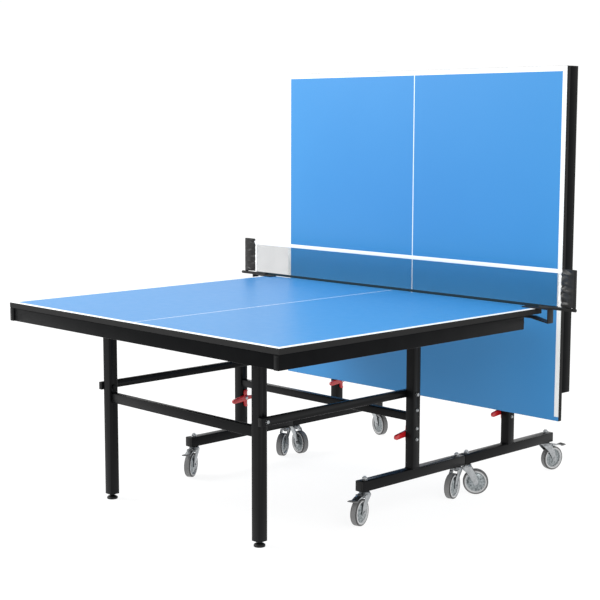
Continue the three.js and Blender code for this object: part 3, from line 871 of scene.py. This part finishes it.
def makeBolts(half):
    trolley, links = f"{half}_trolley", f"{half}_links"
    pivot = Vector(joints[f"{half}_tilt"]["pos_m"])
    legPivot = Vector(joints[f"{half}_legs_swing"]["pos_m"])
    up, down = (0, 0, 1), (0, 0, -1)
    for side, sign in sides.items():
        outwards = (sign, 0, 0)
        bm = bmesh.new()
        for height in bolts["uprightHeights"]:
            hexHead(bm, (sign * bolts["uprightFace"], pivot.y, height), outwards, **bolts["assembly"])
        addPiece(f"{half}_frame_bolts_{side}", bm, ["zinc"], trolley)
        bm = bmesh.new()
        face = bolts["uprightFace"] + bolts["linkStandOff"]
        for x, at in ((face, pivot), (bolts["legFace"], legPivot)):
            hexHead(bm, (sign * x, at.y, at.z - bolts["linkDrop"]), outwards, **bolts["link"])
        addPiece(f"{half}_link_bolts_{side}", bm, ["zinc"], links)
        bm = bmesh.new()
        for place in ("outer", "inner"):
            x, y, _ = joints[f"{half}_swivel_{place}_{side}"]["pos_m"]
            hexHead(bm, (x, y, bolts["kingpinZ"]), up, **bolts["kingpin"])
            spinProfile(bm, bolts["tip"], up, (x, y, bolts["tipZ"]), steps=24)
            spinProfile(bm, bolts["shank"], up, (x, y, 0), steps=24)
            hexHead(bm, (x, y, bolts["lockNutZ"]), down, **bolts["lockNut"])
        addPiece(f"{half}_caster_nuts_{side}", bm, ["zinc"], trolley)


plugs = {
    "edge": 0.0010,
    "panelInset": 0.012,
    "panelDepth": 0.0012,
    "panelEdge": 0.0004,
    "panelLift": 0.0001,
    "base": {"x": 0.485, "z": 0.142, "size": (0.0385, 0.0385), "depth": 0.0018, "sink": 0.0003},
    "link": {"x": 0.455, "size": (0.0170, 0.0290), "depth": 0.0016},
    "rail": {"x": 0.750, "size": (0.0238, 0.0488), "depth": 0.0016, "fromEdge": 0.025},
}


def plug(bm, centre, axis, size, depth):
    # a cap in a tube's end, with a raised panel in its middle
    axis = Vector(axis)
    centre = Vector(centre)
    across = list(size)
    lengths = [depth if abs(axis[n]) > 0.5 else across.pop(0) for n in range(3)]
    block(bm, lengths, centre + axis * depth / 2, bevel=plugs["edge"])
    panel = [
        plugs["panelDepth"] if abs(axis[n]) > 0.5 else length - plugs["panelInset"]
        for n, length in enumerate(lengths)
    ]
    block(bm, panel, centre + axis * (depth + plugs["panelLift"]), bevel=plugs["panelEdge"])


def makePlugs(half):
    level = half == "near"  # its rails and links run along Y, and the stowed half's run up
    base, link, rail = plugs["base"], plugs["link"], plugs["rail"]
    for side, sign in sides.items():
        bm = bmesh.new()
        low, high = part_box(f"{half}_end_frame_{side}")
        for y, way in ((low.y, -1), (high.y, 1)):
            centre = (sign * base["x"], y - way * base["sink"], base["z"])
            plug(bm, centre, (0, way, 0), base["size"], base["depth"])
        addPiece(f"{half}_base_plugs_{side}", bm, ["black"], f"{half}_trolley")
        bm = bmesh.new()
        low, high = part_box(f"{half}_link_{side}")
        middle = (low + high) / 2
        for corner, way in ((low, -1), (high, 1)):
            y, z = (corner.y, middle.z) if level else (middle.y, corner.z)
            centre = (sign * link["x"], y, z)
            axis = (0, way, 0) if level else (0, 0, way)
            plug(bm, centre, axis, link["size"], link["depth"])
        addPiece(f"{half}_link_plugs_{side}", bm, ["black"], f"{half}_links")
        bm = bmesh.new()
        low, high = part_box(f"{half}_side_rail_{side}")
        for corner, way in ((low, -1), (high, 1)):
            inwards = way * rail["depth"]
            if level:
                centre = (sign * rail["x"], corner.y - inwards, high.z - rail["fromEdge"])
            else:
                centre = (sign * rail["x"], low.y + rail["fromEdge"], corner.z - inwards)
            axis = (0, way, 0) if level else (0, 0, way)
            plug(bm, centre, axis, rail["size"], rail["depth"])
        addPiece(f"{half}_rail_plugs_{side}", bm, ["coat"], f"{half}_top")


# weld beads where the uprights meet the base rails
weld = {
    "radius": 0.0021,
    "ripple": 0.0035,
    "rippleCuts": 3,
    "thin": 0.86,
    "swell": 0.16,
    "tubeX": 0.485,
    "tubeHalf": 0.0200,
    "railTop": 0.1622,
    "frontHalf": 0.018,
    "frontOut": 0.0004,
    "sideHalf": 0.019,
    "sideIn": 0.0010,
    "sideDrop": 0.0006,
}


def bead(bm, start, end):
    # shaped upright in a mesh of its own, then turned into place and merged into bm
    start, end = Vector(start), Vector(end)
    length = (end - start).length
    turn = Vector((0, 0, 1)).rotation_difference(end - start).to_matrix().to_4x4()
    place = Matrix.Translation((start + end) / 2) @ turn
    radius, ripple = weld["radius"], weld["ripple"]
    piece = bmesh.new()
    bmesh.ops.create_cone(piece, cap_ends=True, segments=10, radius1=radius, radius2=radius, depth=length)
    along = [e for e in piece.edges if abs(e.verts[0].co.z - e.verts[1].co.z) > length * 0.9]
    bmesh.ops.subdivide_edges(piece, edges=along, cuts=int(length / ripple * weld["rippleCuts"]))
    for vert in piece.verts:
        size = weld["thin"] + weld["swell"] * abs(math.sin(math.pi * vert.co.z / ripple))
        vert.co.x *= size
        vert.co.y *= size
    bmesh.ops.transform(piece, matrix=place, verts=piece.verts)
    mesh = bpy.data.meshes.new("bead")
    piece.to_mesh(mesh)
    piece.free()
    bm.from_mesh(mesh)
    bpy.data.meshes.remove(mesh)


def makeWelds(half):
    look = weld
    pivotY = joints[f"{half}_tilt"]["pos_m"][1]
    for side, sign in sides.items():
        bm = bmesh.new()
        x, z = sign * look["tubeX"], look["railTop"]
        for way in (-1, 1):
            y = pivotY + way * (look["tubeHalf"] + look["frontOut"])
            bead(bm, (x - look["frontHalf"], y, z), (x + look["frontHalf"], y, z))
            sideX = x + way * (look["tubeHalf"] - look["sideIn"])
            sideZ = z - look["sideDrop"]
            bead(bm, (sideX, pivotY - look["sideHalf"], sideZ), (sideX, pivotY + look["sideHalf"], sideZ))
        addPiece(f"{half}_frame_welds_{side}", bm, ["coat"], f"{half}_trolley", angle=70)


for half in halves:
    makeBolts(half)
    makePlugs(half)
    makeWelds(half)
print("bolts, plugs and welds ready")

netShape = {
    "y": 0.4175,
    "halfWidth": 0.846,
    "bottom": 0.7615,
    "top": 0.9125,
    "clothStop": 0.004,
    "tape": 0.015,
    "tapeOver": 0.006,
    "band": 0.011,
    "hem": 0.008,
    "hemStop": 0.01,
    "thickness": {"tape": 0.0028, "band": 0.0018, "hem": 0.0020},
    "fold": 0.0006,
    "columns": 170,
    "sway": 0.0022,
    "waves": ((5.1, 0.6, 0.6), (11.7, 2.0, 0.4)),  # rate along the net, start, share
    "puckerFrom": 0.70,
    "puckerWidth": 0.146,
    "puckerRate": (30, 170),
}


def sway(x, z):
    # how far the hanging cloth stands off its plane: slow waves, with short puckers near the ends
    look = netShape
    drop = (look["top"] - z) / (look["top"] - look["bottom"])
    slow = sum(math.sin(x * rate + start) * share for rate, start, share in look["waves"])
    nearEnd = max(0.0, (abs(x) - look["puckerFrom"]) / look["puckerWidth"])
    alongRate, upRate = look["puckerRate"]
    pucker = math.sin(z * upRate + x * alongRate) * nearEnd ** 2
    return look["sway"] * (slow * drop * 0.8 + pucker * 0.5)


def strip(name, low, high, segments, look, thickness=0.0):
    # an upright piece of cloth between two corners, following the net's sway
    (xLow, zLow), (xHigh, zHigh) = low, high
    bm = bmesh.new()
    bmesh.ops.create_grid(bm, x_segments=segments[0], y_segments=segments[1], size=0.5)
    for vert in bm.verts:
        x = (xLow + xHigh) / 2 + vert.co.x * (xHigh - xLow)
        z = (zLow + zHigh) / 2 + vert.co.y * (zHigh - zLow)
        vert.co = (x, netShape["y"] + sway(x, z), z)
    if thickness:
        bmesh.ops.recalc_face_normals(bm, faces=bm.faces)
        bmesh.ops.solidify(bm, geom=bm.faces, thickness=thickness)
        depths = [v.co.y for v in bm.verts]
        centred = netShape["y"] - (min(depths) + max(depths)) / 2
        bmesh.ops.translate(bm, vec=(0, centred, 0), verts=bm.verts)
        bmesh.ops.recalc_face_normals(bm, faces=bm.faces)
        bevelSharp(bm, netShape["fold"])
    return addPiece(name, bm, [look], "near_top", angle=50)


sleeveShape = {
    "inner": 0.848,
    "outer": 0.9165,
    "bottom": 0.7735,
    "top": {"left": 0.9225, "right": 0.9140},
    "depth": (0.0032, 0.0078),  # half its depth at the net, and how much more it is at the post
    "around": 64,
    "rings": 46,
    "tucks": (0.09, 0.33, 0.52, 0.79, 0.93),  # heights of the gathers, as shares of the sleeve's
    "tuckHeight": 0.0035,
    "tuckDepth": -0.0042,
    "tuckPull": 0.0040,
    "slant": 0.006,
    "slantRate": 55,
    "rippleRate": (30, 62),
    "ripple": 0.0030,
    "cloth": 0.0007,
}


def sleeve(side, sign):
    # a flat tube of cloth that is slipped over the post, gathered and creased along its height
    look = sleeveShape
    width = look["outer"] - look["inner"]
    height = look["top"][side] - look["bottom"]
    thin, more = look["depth"]
    acrossRate, upRate = look["rippleRate"]
    bm = bmesh.new()
    bmesh.ops.create_cone(
        bm, cap_ends=False, segments=look["around"], radius1=0.5, radius2=0.5, depth=1.0,
    )
    uprights = [e for e in bm.edges if abs(e.verts[0].co.z - e.verts[1].co.z) > 0.5]
    bmesh.ops.subdivide_edges(bm, edges=uprights, cuts=look["rings"], use_grid_fill=True)
    for vert in bm.verts:
        around = math.atan2(vert.co.y, vert.co.x)
        outward = (math.cos(around) + 1) / 2  # 0 at the net, 1 past the post
        z = look["bottom"] + (vert.co.z + 0.5) * height
        x = look["inner"] + width * outward
        slanted = z + look["slant"] * math.sin(x * look["slantRate"] + sign) - look["bottom"]
        tuck = sum(math.exp(-((slanted - height * at) / look["tuckHeight"]) ** 2) for at in look["tucks"])
        inner = (1 - outward) ** 1.3
        ripple = noise.noise(Vector((x * acrossRate * sign, z * upRate, 3.0 * sign))) * look["ripple"]
        crease = (tuck * look["tuckDepth"] + ripple * 2.2) * inner + ripple * 0.45
        deep = thin + more * outward ** 0.6 + crease
        x += tuck * inner * look["tuckPull"]
        vert.co = (sign * x, netShape["y"] + math.sin(around) * deep, z)
    bmesh.ops.recalc_face_normals(bm, faces=bm.faces)
    bmesh.ops.solidify(bm, geom=bm.faces, thickness=look["cloth"])
    return addPiece(f"net_sleeve_{side}", bm, ["sleeve"], "near_top", angle=60)


def makeNet():
    look = netShape
    half, top, bottom, columns = look["halfWidth"], look["top"], look["bottom"], look["columns"]
    thickness = look["thickness"]
    cloth = strip("net_cloth", (-half, bottom), (half, top - look["clothStop"]), (columns, 14), "net")
    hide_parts("net")
    ends = half + look["tapeOver"]
    tapeBottom, bandTop = top - look["tape"], bottom + look["band"]
    trims = [
        strip("net_top_tape", (-ends, tapeBottom), (ends, top), (columns, 2), "tape", thickness["tape"]),
        strip("net_bottom_band", (-half, bottom), (half, bandTop), (columns, 2), "band", thickness["band"]),
    ]
    for side, sign in sides.items():
        low, high = sorted((sign * (half - look["hem"]), sign * half))
        corners = (low, bottom), (high, top - look["hemStop"])
        trims.append(strip(f"net_hem_{side}", *corners, (2, 18), "tape", thickness["hem"]))
        trims.append(sleeve(side, sign))


makeNet()
print("net ready")
